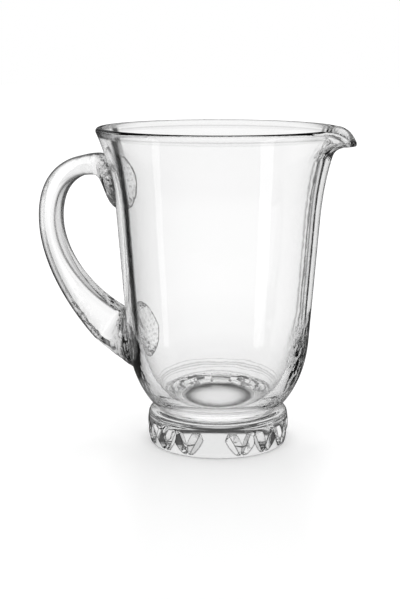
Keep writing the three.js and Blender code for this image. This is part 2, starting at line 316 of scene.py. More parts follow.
number = cuts.nodes.new("GeometryNodeInputIndex").outputs[0]
smooth_arc = maths(cuts, "DIVIDE", size["Smooth width"], size["Side radius"])
step = maths(cuts, "DIVIDE", maths(cuts, "SUBTRACT", math.pi, smooth_arc), size["Cuts per half"])
half = maths(cuts, "FLOOR", maths(cuts, "DIVIDE", number, size["Cuts per half"]))
stretches = maths(cuts, "MULTIPLY", maths(cuts, "ADD", half, 0.5), smooth_arc)
steps = maths(cuts, "MULTIPLY", maths(cuts, "ADD", number, 0.5), step)
turn = maths(cuts, "ADD", size["Smooth turn"], maths(cuts, "ADD", stretches, steps))
middle = maths(cuts, "MULTIPLY", maths(cuts, "ADD", size["Cut bottom"], size["Cut top"]), 0.5)
cut_place = put(cuts, "ShaderNodeCombineXYZ", Z=middle,
                X=maths(cuts, "MULTIPLY", size["Side radius"], maths(cuts, "COSINE", turn)),
                Y=maths(cuts, "MULTIPLY", size["Side radius"], maths(cuts, "SINE", turn)))
cut_count = maths(cuts, "MULTIPLY", size["Cuts per half"], 2.0)
cut_points = put(cuts, "GeometryNodePoints", Count=cut_count, Position=cut_place.outputs[0])

every_other = maths(cuts, "MODULO", number, 2.0)
lean_side = maths(cuts, "SUBTRACT", 1.0, maths(cuts, "MULTIPLY", every_other, 2.0))
wander = maths(cuts, "SINE", maths(cuts, "MULTIPLY", number, number))
lean = maths(cuts, "ADD", maths(cuts, "MULTIPLY", lean_side, size["Slant"]),
             maths(cuts, "MULTIPLY", wander, size["Slant variation"]))
rotation = put(cuts, "ShaderNodeCombineXYZ", Y=maths(cuts, "MULTIPLY", lean, -1.0),
               Z=maths(cuts, "ADD", turn, math.pi / 2))
half_width = maths(cuts, "MULTIPLY", size["Cut width"], 0.5)
stretch = put(cuts, "ShaderNodeCombineXYZ", X=maths(cuts, "DIVIDE", half_width, size["Cut depth"]), Y=1.0,
              Z=maths(cuts, "DIVIDE", 1.0, maths(cuts, "COSINE", lean)))

length = maths(cuts, "SUBTRACT", size["Cut top"], size["Cut bottom"])
bar_length = maths(cuts, "SUBTRACT", length, maths(cuts, "MULTIPLY", size["Point length"], 2.0))
bar_end = maths(cuts, "MULTIPLY", bar_length, 0.5)
bar_start = maths(cuts, "MULTIPLY", bar_end, -1.0)

# Each cutter is a four-sided bar on edge, with a point at both ends.
BAR_SIDES = 4
CUTTER_WELD = 1e-6
cutter = cuts.nodes.new("GeometryNodeJoinGeometry")
for part_length, bottom, top, lift in (
    (size["Point length"], 0.0, size["Cut depth"], maths(cuts, "SUBTRACT", bar_start, size["Point length"])),
    (bar_length, size["Cut depth"], size["Cut depth"], bar_start),
    (size["Point length"], size["Cut depth"], 0.0, bar_end),
):
    cone = put(cuts, "GeometryNodeMeshCone", Vertices=BAR_SIDES, Radius_Top=top, Radius_Bottom=bottom,
               Depth=part_length)
    cone.fill_type = "NONE"
    lifted = put(cuts, "GeometryNodeTransform", Geometry=cone.outputs["Mesh"],
                 Translation=put(cuts, "ShaderNodeCombineXYZ", Z=lift).outputs[0])
    cuts.links.new(lifted.outputs[0], cutter.inputs[0])
closed = put(cuts, "GeometryNodeMergeByDistance", Geometry=cutter.outputs[0], Distance=CUTTER_WELD)
cutters = put(cuts, "GeometryNodeInstanceOnPoints", Points=cut_points.outputs[0], Instance=closed.outputs[0],
              Rotation=rotation.outputs[0], Scale=stretch.outputs[0])

cut = cuts.nodes.new("GeometryNodeMeshBoolean")
cut.operation = "DIFFERENCE"
cut.solver = "EXACT"
cuts.links.new(size["Geometry"], cut.inputs["Mesh 1"])
cuts.links.new(cutters.outputs[0], cut.inputs["Mesh 2"])
cut.inputs["Self Intersection"].default_value = True
edge_angle = cuts.nodes.new("GeometryNodeInputMeshEdgeAngle").outputs[0]
crease = put(cuts, "FunctionNodeCompare", A=edge_angle, B=size["Crease angle"])
smooth = put(cuts, "GeometryNodeSetShadeSmooth", Geometry=cut.outputs["Mesh"], Shade_Smooth=True)
sharp = put(cuts, "GeometryNodeSetShadeSmooth", Geometry=smooth.outputs[0], Selection=crease.outputs[0],
            Shade_Smooth=False)
sharp.domain = "EDGE"
whole = put(cuts, "GeometryNodeRealizeInstances", Geometry=sharp.outputs[0])
glazed = put(cuts, "GeometryNodeSetMaterial", Geometry=whole.outputs[0], Material=size["Glass"])
cuts.links.new(glazed.outputs[0], result.inputs[0])

cutting = foot.modifiers.new("Slanted cuts", "NODES")
cutting.node_group = cuts
for identifier, value in socket_of.values():
    if value is not None:
        cutting[identifier] = value
uncut = foot.data
foot.data = bpy.data.meshes.new_from_object(foot.evaluated_get(bpy.context.evaluated_depsgraph_get()))
foot.modifiers.clear()
bpy.data.meshes.remove(uncut)

TOUCHING = 0.001
LEAST_CUT = 0.1
LEVEL_FACE = 0.98
CONTACT_LINE_HEIGHT = 0.6
CONTACT_LINE_INSET = 1.8
PAINTED_CONTACT_SHADOW = 0.35
foot_x, foot_y, foot_up = np.array([v.co for v in foot.data.vertices]).T * MM_PER_M
foot_out = np.hypot(foot_x, foot_y)
inside_waist = np.sign(np.round(WAIST_RADIUS - foot_out, 2))
mark(foot, "fused", np.where(foot_up > foot_top - TOUCHING, inside_waist, -1.0))
side_heights, side_radii = zip(*[(z, r) for r, z in foot_outline[2:-2]])
# The cut faces get painted shade, on the surface that a ray meets first.
face_middles = np.array([face.center for face in foot.data.polygons]) * MM_PER_M
depth_of_face = np.interp(face_middles[:, 2], side_heights, side_radii) - np.hypot(*face_middles.T[:2])
level = np.array([abs(face.normal.z) for face in foot.data.polygons]) > LEVEL_FACE
mark(foot, "cut", (depth_of_face > LEAST_CUT) & ~level, "FACE")
# Painted contact shadow: a dark band round the foot's bottom edge where it meets the paper.
on_contact = (foot_up < CONTACT_LINE_HEIGHT) & (foot_out > FOOT_BOTTOM_RADIUS - CONTACT_LINE_INSET)
mark(foot, "ring", PAINTED_CONTACT_SHADOW * on_contact)
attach(foot, "root")
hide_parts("foot")


# The bowl is blown clear glass: a round base, a straight, slightly opening wall and a flared, fire-polished
# rim. The pouring lip is pulled out of the rim while it is soft, and the underside is fused to the foot.

BASE_CURVE_BEND = 17.5
BASE_CURVE_HEIGHT = 46.0
BODY_LOW_RADIUS = 60.3
BODY_HIGH_RADIUS = 66.5
BODY_HEIGHT = 80.0
FLARE_BEND = 34.0
FLARE_HEIGHT = 57.9
RIM_RADIUS = 79.7
RIM_BEAD_RADIUS = 2.3
WALL = 4.2
FLOOR_THICKNESS = 2.4
FLOOR_RADIUS = 25.0
FLOOR_RINGS = (24.0, 23.0, 22.0, 21.0, 19.0, 17.0, 14.0, 8.0)
HOLLOW_CURVE_HEIGHT = 68.0
HOLLOW_CORNER_INSET = 5.2
HOLLOW_CORNER_RISE = 9.6
LIP_REACH = 9.2
LIP_DIP = 8.4
LIP_HALF_ANGLE = 0.46
LIP_PULL_DEPTH = 17.0
LIP_SWELL = 0.55
LIP_SWELL_SHARPNESS = 6
FLOW_DEPTH = 0.5
FLOW_WAVES = np.array(((0.0, 0.5, 0.9), (1.1, 0.3, -0.4)))
TOOLING_DEPTH = 0.12
TOOLING_STEP = 2.2
TOOLING_REACH = 11.0
BASE_CURVE_STEPS = 90
BODY_STEPS = 36
FLARE_STEPS = 60
BEAD_STEPS = 20
HOLLOW_BODY_STEPS = 25
HOLLOW_CURVE_STEPS = 110

base_bend = FOOT_HEIGHT + BASE_CURVE_BEND
base_curve_top = FOOT_HEIGHT + BASE_CURVE_HEIGHT
body_top = base_curve_top + BODY_HEIGHT
flare_bend = body_top + FLARE_BEND
bead_height = body_top + FLARE_HEIGHT
rim_height = bead_height + RIM_BEAD_RADIUS
bead_centre = RIM_RADIUS - RIM_BEAD_RADIUS
hollow_top = FOOT_HEIGHT + HOLLOW_CURVE_HEIGHT
floor_top = FOOT_HEIGHT + FLOOR_THICKNESS
hollow_corner = floor_top + HOLLOW_CORNER_RISE


def straight_wall(height):
    """The radius of the wall's straight middle, carried on past its two ends."""
    return BODY_LOW_RADIUS + (BODY_HIGH_RADIUS - BODY_LOW_RADIUS) / BODY_HEIGHT * (height - base_curve_top)


def tooling(distance):
    """Shallow rings that the tools leave in the glass, fading away from where they press."""
    fade = np.clip(1 - distance / TOOLING_REACH, 0, 1)
    return TOOLING_DEPTH * fade * math.sin(2 * math.pi * distance / TOOLING_STEP)


rim_normal = np.array((bead_height - flare_bend, straight_wall(flare_bend) - bead_centre))
rim_normal /= np.linalg.norm(rim_normal)
bead_start = math.atan2(rim_normal[1], rim_normal[0])
flare_end = np.array((bead_centre, bead_height)) + RIM_BEAD_RADIUS * rim_normal
waist = np.array((WAIST_RADIUS, FOOT_HEIGHT))
base_bend_point = straight_wall(base_bend), base_bend
base_curve = bent(waist, base_bend_point, (BODY_LOW_RADIUS, base_curve_top), BASE_CURVE_STEPS)
for point in base_curve:
    point[0] -= abs(tooling(point[1] - FOOT_HEIGHT))
outer_wall = [waist, *base_curve]
body_heights = np.linspace(base_curve_top, body_top, BODY_STEPS + 1)[1:]
outer_wall += [np.array((straight_wall(z), z)) for z in body_heights]
outer_wall += bent(outer_wall[-1], (straight_wall(flare_bend), flare_bend), flare_end, FLARE_STEPS)

hollow = arc((bead_centre, bead_height), RIM_BEAD_RADIUS, bead_start, bead_start + math.pi, BEAD_STEPS)
flare_inside = straight_wall(flare_bend) - WALL, flare_bend
hollow += bent(hollow[-1], flare_inside, (BODY_HIGH_RADIUS - WALL, body_top), FLARE_STEPS)
hollow_heights = np.linspace(body_top, hollow_top, HOLLOW_BODY_STEPS + 1)[1:]
hollow += [np.array((straight_wall(z) - WALL, z)) for z in hollow_heights]
corner_inside = straight_wall(hollow_corner) - HOLLOW_CORNER_INSET, hollow_corner
hollow_curve = bent(hollow[-1], corner_inside, (FLOOR_RADIUS, floor_top), HOLLOW_CURVE_STEPS)
for point in hollow_curve[:-1]:
    point[1] += tooling(point[0] - FLOOR_RADIUS)
hollow += hollow_curve
hollow += [np.array((radius, floor_top)) for radius in FLOOR_RINGS]
bowl_points, bowl_faces = turned([(0.0, FOOT_HEIGHT), *outer_wall, *hollow, (0.0, floor_top)])


def flow(points):
    """Ripples left where soft glass ran, from 0 to 1 by the place in millimetres."""
    first, second = np.sin(FLOW_WAVES @ np.asarray(points).T)
    return 0.5 + 0.5 * first * second


def pull_lip(points):
    """The rim is drawn out and down over a narrow arc about +X, most at its edge, and its bead swells."""
    x, y, z = points.T
    turn, radius = np.arctan2(y, x), np.hypot(x, y)
    share = 0.5 + 0.5 * np.cos(math.pi * np.minimum(1, np.abs(turn) / LIP_HALF_ANGLE))
    up = np.clip((z - bead_height) / LIP_PULL_DEPTH + 1, 0, 1)
    pull = share * up ** 2
    swell = 1 + LIP_SWELL * share * up ** LIP_SWELL_SHARPNESS
    radius = bead_centre + (radius - bead_centre) * swell + LIP_REACH * pull
    height = bead_height + (z - bead_height) * swell - LIP_DIP * pull * share
    radius -= FLOW_DEPTH * pull * flow(points)
    return np.stack([radius * np.cos(turn), radius * np.sin(turn), height], 1)


def rising(value, start, end):
    """A share that goes from 0 to 1 while the value goes from start to end."""
    return np.clip((value - start) / (end - start), 0, 1)


# Painted shade for the bowl: each level list darkens its glass by how edge on it is, for the dark lines and
# shade of the wall, lip, hollow, rim, rippled places and base.
solid_edges = ((0.2, 1.0), (0.5, 0.93), (0.7, 0.75), (0.8, 0.5), (0.9, 0.15), (1.0, 0.03))
handle_side_edges = ((0.0, 1.0), (0.28, 0.98), (0.46, 0.93), (0.51, 0.95), (0.53, 0.6), (0.545, 0.12),
                     (0.595, 0.1), (0.615, 0.4), (0.635, 0.85), (0.665, 0.95), (0.69, 0.65), (0.72, 0.9),
                     (1.0, 1.0))
lip_side_edges = ((0.0, 1.0), (0.4, 0.99), (0.555, 0.97), (0.575, 0.4), (0.6, 0.4), (0.615, 0.9),
                  (0.64, 0.9), (0.655, 0.05), (0.69, 0.05), (0.715, 1.0), (0.81, 1.0), (0.86, 0.6),
                  (1.0, 0.4))
hollow_edges = ((0.0, 1.0), (0.18, 0.975), (0.24, 0.93), (0.47, 0.82), (0.62, 0.68), (0.66, 0.3), (0.7, 0.1),
                (1.0, 0.1))
rim_edges = ((0.0, 0.98), (0.3, 0.95), (0.45, 0.8), (0.6, 0.4), (0.75, 0.1), (1.0, 0.03))
rippled_edges = ((0.0, 1.0), (0.1, 0.95), (0.22, 0.5), (0.4, 0.08), (0.55, 0.5), (0.7, 0.1), (1.0, 0.03))
base_edges = ((0.0, 1.0), (0.15, 1.0), (0.25, 0.85), (0.34, 0.45), (0.46, 0.9), (0.56, 0.3), (0.66, 0.9),
              (0.76, 0.3), (0.86, 0.95), (0.93, 0.6), (1.0, 0.5))
bowl = glass_object("blown_bowl", pull_lip(bowl_points), bowl_faces)
bowl.data.materials.append(clear_glass(
    "blown_bowl_glass", solid_edges, ("handle_side", handle_side_edges, "in"),
    ("lip_side", lip_side_edges, "in"), ("hollow", hollow_edges, "both"), ("rim", rim_edges, "in"),
    ("ripple_and_painted_shade", rippled_edges, "both"), ("outside_ripple_and_painted_shade", base_edges, "in"), ("ring", ring_edges, "both")))

bowl_x, bowl_y, bowl_up = bowl_points.T
bowl_out, bowl_turn = np.hypot(bowl_x, bowl_y), np.arctan2(bowl_y, bowl_x)
row = (np.arange(len(bowl_points)) - 1) // TURN_STEPS - len(outer_wall)
outside, inside = row < 0, row > BEAD_STEPS
on_bead = (row >= 0) & (row < BEAD_STEPS)

# Painted dark lines on the upper wall, towards the handle and the lip, and on the hollow's side.
WALL_SHADE_HEIGHTS = 55.0, 80.0
HOLLOW_SHADE_END = 202.0, 177.0
LIP_SIDE_START = -10.0, 10.0
HOLLOW_SHADE_LOST_AT_LIP = 0.75
up_wall = rising(bowl_up, *WALL_SHADE_HEIGHTS)
to_lip = rising(bowl_x, *LIP_SIDE_START)
below_flare = rising(bowl_up, *HOLLOW_SHADE_END)
mark(bowl, "handle_side", up_wall)
mark(bowl, "lip_side", up_wall * to_lip)
mark(bowl, "hollow", up_wall * below_flare * (1 - HOLLOW_SHADE_LOST_AT_LIP * to_lip) * (row >= BEAD_STEPS))

# Painted shade on the rim's outside and on its bead, less towards the lip.
RIM_SHADE_DEPTH = 5.5
RIM_SHADE_ROWS = 8
BEAD_SHADE = 0.8
RIM_SHADE_LOST_AT_LIP = 0.85
RIM_SHADE_LIP_SHARE = 0.5
LIP_RIPPLE = 0.7
LIP_RIPPLE_BY_PULL = (0, 0.5, 0.75, 1), (0.0, 1.0, 0.5, 0.35)
lip_share = rising(np.abs(bowl_turn), LIP_HALF_ANGLE, 0)
outside_rim = (row < RIM_SHADE_ROWS) & (bowl_up > rim_height - RIM_SHADE_DEPTH)
rim_mark = np.where(outside_rim, 1.0, np.where((row >= 0) & (row <= BEAD_STEPS), BEAD_SHADE, 0.0))
lost_at_lip = RIM_SHADE_LOST_AT_LIP * rising(lip_share, 0, RIM_SHADE_LIP_SHARE)
mark(bowl, "rim", rim_mark * (1 - lost_at_lip))
# The pulled lip gets real bumps and painted dark blotches.
pulled = rising(bowl_up, bead_height - LIP_PULL_DEPTH, bead_height)
mark(bowl, "ripple_and_painted_shade", LIP_RIPPLE * lip_share * np.interp(pulled, *LIP_RIPPLE_BY_PULL))

BASE_RIPPLE = 0.8
BASE_RIPPLE_HEIGHTS = 58.0, 44.0
BASE_RIPPLE_TURN = 0.28
BASE_RIPPLE_SHARPNESS = 4
LIP_BASE_HEIGHTS = 90.0, 74.0
LIP_BASE_TURN = -0.05
LIP_BASE_ARC = 0.45, 0.2
# The low base's sides and the wall below the lip get real bumps and painted mottled shade.
on_sides = np.cos(bowl_turn - BASE_RIPPLE_TURN) ** BASE_RIPPLE_SHARPNESS
low_base = BASE_RIPPLE * rising(bowl_up, *BASE_RIPPLE_HEIGHTS) * on_sides
below_lip = rising(bowl_up, *LIP_BASE_HEIGHTS) * rising(np.abs(bowl_turn - LIP_BASE_TURN), *LIP_BASE_ARC)
mark(bowl, "outside_ripple_and_painted_shade", np.maximum(low_base, below_lip) * (row < BEAD_STEPS))

# Painted dark rings round the hollow's corner, painted shade on the hollow's floor, painted dark rings at
# the waist and painted dark bands along the bead.
CORNER_RINGS = ((FLOOR_RADIUS, 0.6, 0.6), (28.5, 0.3, 0.5), (31.5, 0.3, 0.7), (34.0, 0.3, 0.5))
CORNER_TOP = 45.0
FLOOR_EDGE = 0.5
FLOOR_PAINTED_SHADE = (0.8, 1.0, 1.0, 1.0, 0.9, 0.7, 0.3, 0.04)
WAIST_RINGS = (4.5, 5.9, 7.2, 9.3)
WAIST_RING_HALF_WIDTH = 0.3
WAIST_RING_DARKNESS = 0.5
BEAD_LINE_HALF_WIDTH = 0.4
BEAD_LINE_OUTSIDE = 6.5, 0.2
BEAD_LINE_INSIDE = 4.0, 0.45
BEAD_TOP_SHARE = 0.25
BEAD_TOP_DARKNESS = 0.75
lines = np.zeros(len(bowl_points))
for ring_radius, ring_half_width, darkness in CORNER_RINGS:
    lines[inside & (bowl_up < CORNER_TOP) & (np.abs(bowl_out - ring_radius) < ring_half_width)] = darkness
on_floor = inside & (bowl_out < FLOOR_RADIUS - FLOOR_EDGE)
lines[on_floor] = np.interp(bowl_out[on_floor], FLOOR_RINGS[::-1], FLOOR_PAINTED_SHADE[::-1])
for ring_height in WAIST_RINGS:
    on_ring = np.abs(bowl_up - FOOT_HEIGHT - ring_height) < WAIST_RING_HALF_WIDTH
    lines[outside & on_ring] = WAIST_RING_DARKNESS
lines[on_bead & (np.abs(bowl_out - bead_centre) < BEAD_TOP_SHARE * RIM_BEAD_RADIUS)] = BEAD_TOP_DARKNESS
for face, (below_rim, darkness) in ((outside, BEAD_LINE_OUTSIDE), (inside, BEAD_LINE_INSIDE)):
    lines[face & (np.abs(bowl_up - (rim_height - below_rim)) < BEAD_LINE_HALF_WIDTH)] = darkness
mark(bowl, "ring", lines)
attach(bowl, "root")
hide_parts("bowl")


# The handle is one drawn strap of clear glass, bent into a loop while soft. Each end is pressed on to the
# bowl's wall and spreads into an oval seal, where the two are fused into one.

GRIP_REACH = 124.0
GRIP_THICKNESS = 12.0
GRIP_BELOW_RIM = 63.5
STRAP_WIDTH = 19.5
STRAP_CORNER = 2.6
UPPER_END_BELOW_RIM = 26.0
UPPER_END_OUT = 12.5
UPPER_END_THICKNESS = 13.5
LOWER_END_ABOVE_WAIST = 52.5
LOWER_END_OUT = 16.0
LOWER_END_THICKNESS = 26.0
UPPER_ARCH_OUT = 14.0
UPPER_ARCH_DROP = 30.0
LOWER_ARCH_DROP = 25.0
LOWER_ARCH_OUT = 24.0
LOWER_ARCH_RISE = 18.5
UPPER_SEAL_BELOW_RIM = 38.0
LOWER_SEAL_ABOVE_WAIST = 44.5
STRAP_SIDES = 72
STRAP_STEPS = 110
ARCH_STEPS = 400
SEAL_STEPS = 14
SEAL_FLARE_STEPS = 24
upper_seal = dict(middle=rim_height - UPPER_SEAL_BELOW_RIM, height=36.0, width=39.0,
                  at_strap=0.3, at_wall=0.34, end=0, face=1)
lower_seal = dict(middle=FOOT_HEIGHT + LOWER_SEAL_ABOVE_WAIST, height=45.0, width=52.0,
                  at_strap=0.4, at_wall=0.06, end=-1, face=-1)


def wall_radius(height):
    """The radius of the bowl's outside at a height."""
    return np.interp(height, [p[1] for p in outer_wall], [p[0] for p in outer_wall])


def cubic(t, a, b, c, d):
    """A point, or a ring of points, at a share of a cubic curve from a to d with bends at b and c."""
    return (1 - t) ** 3 * a + 3 * t * (1 - t) ** 2 * b + 3 * t ** 2 * (1 - t) * c + t ** 3 * d


upper_height = rim_height - UPPER_END_BELOW_RIM
lower_height = FOOT_HEIGHT + LOWER_END_ABOVE_WAIST
strap_start = np.array((wall_radius(upper_height) + UPPER_END_OUT, upper_height))
grip = np.array((GRIP_REACH - GRIP_THICKNESS / 2, rim_height - GRIP_BELOW_RIM))
strap_end = np.array((wall_radius(lower_height) + LOWER_END_OUT, lower_height))
arch_shares = np.linspace(0, 1, ARCH_STEPS)[:, None]
upper_bends = strap_start + (UPPER_ARCH_OUT, 0), grip + (0, UPPER_ARCH_DROP)
lower_bends = grip - (0, LOWER_ARCH_DROP), strap_end + (LOWER_ARCH_OUT, LOWER_ARCH_RISE)
upper_arch = cubic(arch_shares, strap_start, *upper_bends, grip)
lower_arch = cubic(arch_shares, grip, *lower_bends, strap_end)
line = np.concatenate([upper_arch, lower_arch[1:]])
run = np.concatenate([[0], np.cumsum(np.linalg.norm(np.diff(line, axis=0), axis=1))])
grip_share = run[ARCH_STEPS - 1] / run[-1]
direction = np.gradient(line, axis=0)
direction /= np.linalg.norm(direction, axis=1)[:, None]
around = -2 * math.pi * np.arange(STRAP_SIDES) / STRAP_SIDES
third = np.arccos(np.clip(np.abs(np.cos(around)), 0, 1)) / (math.pi / 6)


def strap_ring(share):
    """The strap's flat-sided section at a share of its length, its outer face first."""
    centre = np.array([np.interp(share * run[-1], run, line[:, k]) for k in (0, 1)])
    along = np.array([np.interp(share * run[-1], run, direction[:, k]) for k in (0, 1)])
    to_upper = max(0.0, 1 - share / grip_share)
    to_lower = max(0.0, (share - grip_share) / (1 - grip_share))
    thickness = (GRIP_THICKNESS + (UPPER_END_THICKNESS - GRIP_THICKNESS) * to_upper
                 + (LOWER_END_THICKNESS - GRIP_THICKNESS) * to_lower ** 2)
    on_face, on_corner, on_side = (np.clip(third - k, 0, 1) for k in range(3))
    out = (thickness / 2 - STRAP_CORNER) * (1 - on_side) + STRAP_CORNER * np.cos(on_corner * math.pi / 2)
    side = (STRAP_WIDTH / 2 - STRAP_CORNER) * on_face + STRAP_CORNER * np.sin(on_corner * math.pi / 2)
    out, side = out * np.sign(np.cos(around)), side * np.sign(np.sin(around))
    return np.stack([-(centre[0] - along[1] * out), side, centre[1] + along[0] * out], 1)


def seal_ring(seal, spread):
    """The oval on the wall where the strap is fused on, from its middle (0) to its edge (1)."""
    height = seal["middle"] + seal["face"] * seal["height"] / 2 * spread * np.cos(around)
    side = seal["width"] / 2 * spread * np.sin(around)
    radius = wall_radius(height) + WELD_GAP
    return np.stack([-np.sqrt(radius ** 2 - side ** 2), side, height], 1)


def flare_rings(seal):
    """The strap spreads into its seal: from the seal's edge to the strap's end."""
    edge, end = seal_ring(seal, 1), strap_ring(0.0 if seal["end"] == 0 else 1.0)
    reach = np.linalg.norm(end - edge, axis=1)[:, None]
    outward = edge * (1, 1, 0)
    outward /= np.linalg.norm(outward, axis=1)[:, None]
    along = -seal["face"] * direction[seal["end"]]
    inward = np.array((-along[0], 0, along[1]))
    bends = edge + outward * reach * seal["at_wall"], end + inward * reach * seal["at_strap"]
    spread = []
    for t in np.linspace(0, 1, SEAL_FLARE_STEPS + 1)[1:-1]:
        ring = cubic(t, edge, *bends, end)
        to_middle = ring.mean(axis=0) - ring
        to_middle /= np.linalg.norm(to_middle, axis=1)[:, None]
        spread.append(ring + to_middle * (FLOW_DEPTH * math.sin(math.pi * t) * flow(ring))[:, None])
    return spread


seal_shares = np.linspace(0, 1, SEAL_STEPS + 1)[1:]
strap_share = np.linspace(0, 1, STRAP_STEPS + 1)[:, None]
upper_rings = [seal_ring(upper_seal, spread) for spread in seal_shares] + flare_rings(upper_seal)
lower_rings = [seal_ring(lower_seal, spread) for spread in seal_shares] + flare_rings(lower_seal)
rings = upper_rings + [strap_ring(share) for share in strap_share[:, 0]] + lower_rings[::-1]
poles = seal_ring(upper_seal, 0)[:1], seal_ring(lower_seal, 0)[:1]
handle_points = np.concatenate([poles[0], *rings, poles[1]])
last = 1 + (len(rings) - 1) * STRAP_SIDES
handle_faces = []
for j in range(STRAP_SIDES):
    k = (j + 1) % STRAP_SIDES
    handle_faces.append((0, 1 + j, 1 + k))
    for low in range(1, last, STRAP_SIDES):
        high = low + STRAP_SIDES
        handle_faces.append((low + j, high + j, high + k, low + k))
    handle_faces.append((last + k, last + j, len(handle_points) - 1))

# Painted shade for the handle: dark corners along the strap's edges, dark outlines on its outer face and
# shade on the loop's inner face.
corner_edges = ((0.0, 1.0), (0.06, 0.9), (0.15, 0.5), (0.3, 0.2), (0.6, 0.06), (1.0, 0.03))
outline_edges = ((0.0, 0.7), (0.03, 0.5), (0.06, 0.3), (0.15, 0.15), (0.6, 0.05), (1.0, 0.03))
arch_edges = ((0.0, 0.8), (0.4, 0.3), (0.7, 0.12), (1.0, 0.03))
handle = glass_object("strap_handle", handle_points, handle_faces)
handle.data.materials.append(clear_glass(
    "drawn_handle_glass", solid_edges, ("corner", corner_edges, "in"), ("outline", outline_edges, "in"),
    ("arch", arch_edges, "in"), ("ripple_and_painted_shade", rippled_edges, "both"), ("ring", ring_edges, "both")))


def handle_mark(name, on_rings, at_poles=0.0):
    """A mark on the handle, for each point round each of its rings, and for the middles of its two seals."""
    mark(handle, name, np.concatenate([[at_poles], on_rings.ravel(), [at_poles]]))


def on_strap(values):
    """Values for the strap between its two seals, and 0 on the rest of the handle's rings."""
    on_rings = np.zeros((len(rings), STRAP_SIDES))
    on_rings[len(upper_rings):-len(lower_rings)] = values
    return on_rings


def round_each(ring_values):
    """One value for each ring, the same all round it."""
    return np.repeat(ring_values[:, None], STRAP_SIDES, 1)


ring_fused = np.full(len(rings), -1.0)
ring_fused[:len(seal_shares)] = 1 - seal_shares
ring_fused[-len(seal_shares):] = 1 - seal_shares[::-1]
handle_mark("fused", round_each(ring_fused), at_poles=1.0)

# Painted shade on the far half of the loop's inner face, and the strap's painted dark corners and outline.
ARCH_SHADE_START = -0.2
ARCH_SHADE_SOFTNESS = 0.35
ARCH_TURN_SHARE = 0.3
ARCH_SHADE_ABOVE, ARCH_SHADE_BELOW = 2.0, 2.4
OUTLINE_SHARES = 0.3, 0.6
CORNER_MIDDLE, CORNER_REACH = 1.5, (0.75, 0.25)
on_bend = rising(np.abs(third - CORNER_MIDDLE), *CORNER_REACH)
outer_face = np.cos(around) > 0
across_face = np.where(np.cos(around) < 0, np.clip(third, 0, 1) * np.sign(np.sin(around)), -1)
past_turn = strap_share - ARCH_TURN_SHARE
shade_start = ARCH_SHADE_START + np.where(past_turn < 0, ARCH_SHADE_ABOVE, ARCH_SHADE_BELOW) * past_turn
arch_shade = rising(across_face, shade_start, shade_start + ARCH_SHADE_SOFTNESS) * (across_face > -1)
handle_mark("corner", on_strap(on_bend))
handle_mark("outline", on_strap(rising(strap_share, *OUTLINE_SHARES) * on_bend * outer_face))
handle_mark("arch", on_strap(arch_shade))

# Painted dark bands round the seals' edges and painted dark streaks in the fused seals.
SEAL_LINE_DARKNESS = 0.8
SEAL_STREAK_DARKNESS = 0.6
SEAL_STREAK_FLOW = 0.66, 0.86
seal_lines = np.zeros((len(rings), STRAP_SIDES))
seal_lines[len(seal_shares) - 1:len(seal_shares) + 2] = SEAL_LINE_DARKNESS
seal_lines[-len(seal_shares) - 2:-len(seal_shares) + 1] = SEAL_LINE_DARKNESS
for fused_rings in (slice(0, len(seal_shares) - 1), slice(len(rings) - len(seal_shares) + 1, len(rings))):
    streaks = np.array([rising(flow(ring), *SEAL_STREAK_FLOW) for ring in rings[fused_rings]])
    seal_lines[fused_rings] = SEAL_STREAK_DARKNESS * streaks
handle_mark("ring", seal_lines)

UPPER_RIPPLE, LOWER_RIPPLE = 0.6, 0.7
UPPER_RIPPLE_SHARES = 0.14, 0.0
LOWER_RIPPLE_SHARES = 0.72, 1.0
OUTER_SIDE = -0.3, 0.7
# The seals' flares and the strap's ends get real bumps and painted dark blotches.
flare_ripple = np.zeros(len(rings))
flare_ripple[len(seal_shares):len(upper_rings)] = np.linspace(1, 0, len(upper_rings) - len(seal_shares))
flare_ripple[-len(lower_rings):-len(seal_shares)] = np.linspace(0, 1, len(lower_rings) - len(seal_shares))
upper_ripple = UPPER_RIPPLE * rising(strap_share, *UPPER_RIPPLE_SHARES)
lower_ripple = LOWER_RIPPLE * rising(strap_share, *LOWER_RIPPLE_SHARES) * rising(np.cos(around), *OUTER_SIDE)
handle_mark("ripple_and_painted_shade", round_each(flare_ripple) + on_strap(np.maximum(upper_ripple, lower_ripple)))

underside = slice(0, 1 + TURN_STEPS)
bowl_fused = np.full(len(bowl_points), -1.0)
for seal in (upper_seal, lower_seal):
    across_seal, up_seal = 2 * bowl_y / seal["width"], 2 * (bowl_up - seal["middle"]) / seal["height"]
    in_seal = np.where(outside & (bowl_x < 0), 1 - across_seal ** 2 - up_seal ** 2, -1.0)
    bowl_fused = np.maximum(bowl_fused, in_seal)
bowl_fused[underside] = [1.0] + [0.0] * TURN_STEPS
mark(bowl, "fused", bowl_fused)
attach(handle, "root")
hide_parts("handle")


# The stage: a white paper floor that runs to the horizon, a white surround with a darker ring above
# eye level, two softbox strips, and the camera where the photograph was taken from. The paper carries
# painted
# light: it glows under the foot and under the bowl's floor, is painted lighter beside and behind the foot
# where the camera sees it bare, and is painted dark where the glass mirrors it.

VIEW_TURN = math.radians(16)
FLOOR_REACH = 6.0
FLOOR_DROP = 0.0002
PAPER_WHITE = 0.9
MIRRORED_WHITE = 0.08
sideways = np.array((math.cos(VIEW_TURN), math.sin(VIEW_TURN), 0))
away = np.array((-math.sin(VIEW_TURN), math.cos(VIEW_TURN), 0))


def dim_in_mirror(tree, bright, dim):
    """A level that is dim for rays mirrored by the glass's outside, so its outlines are thin and dark."""
    ray = put(tree, "ShaderNodeLightPath").outputs
    mirrored = maths(tree, "MULTIPLY", ray["Is Glossy Ray"], none_yet(tree, ray["Transmission Depth"]))
    return maths(tree, "ADD", bright, maths(tree, "MULTIPLY", mirrored, dim - bright))


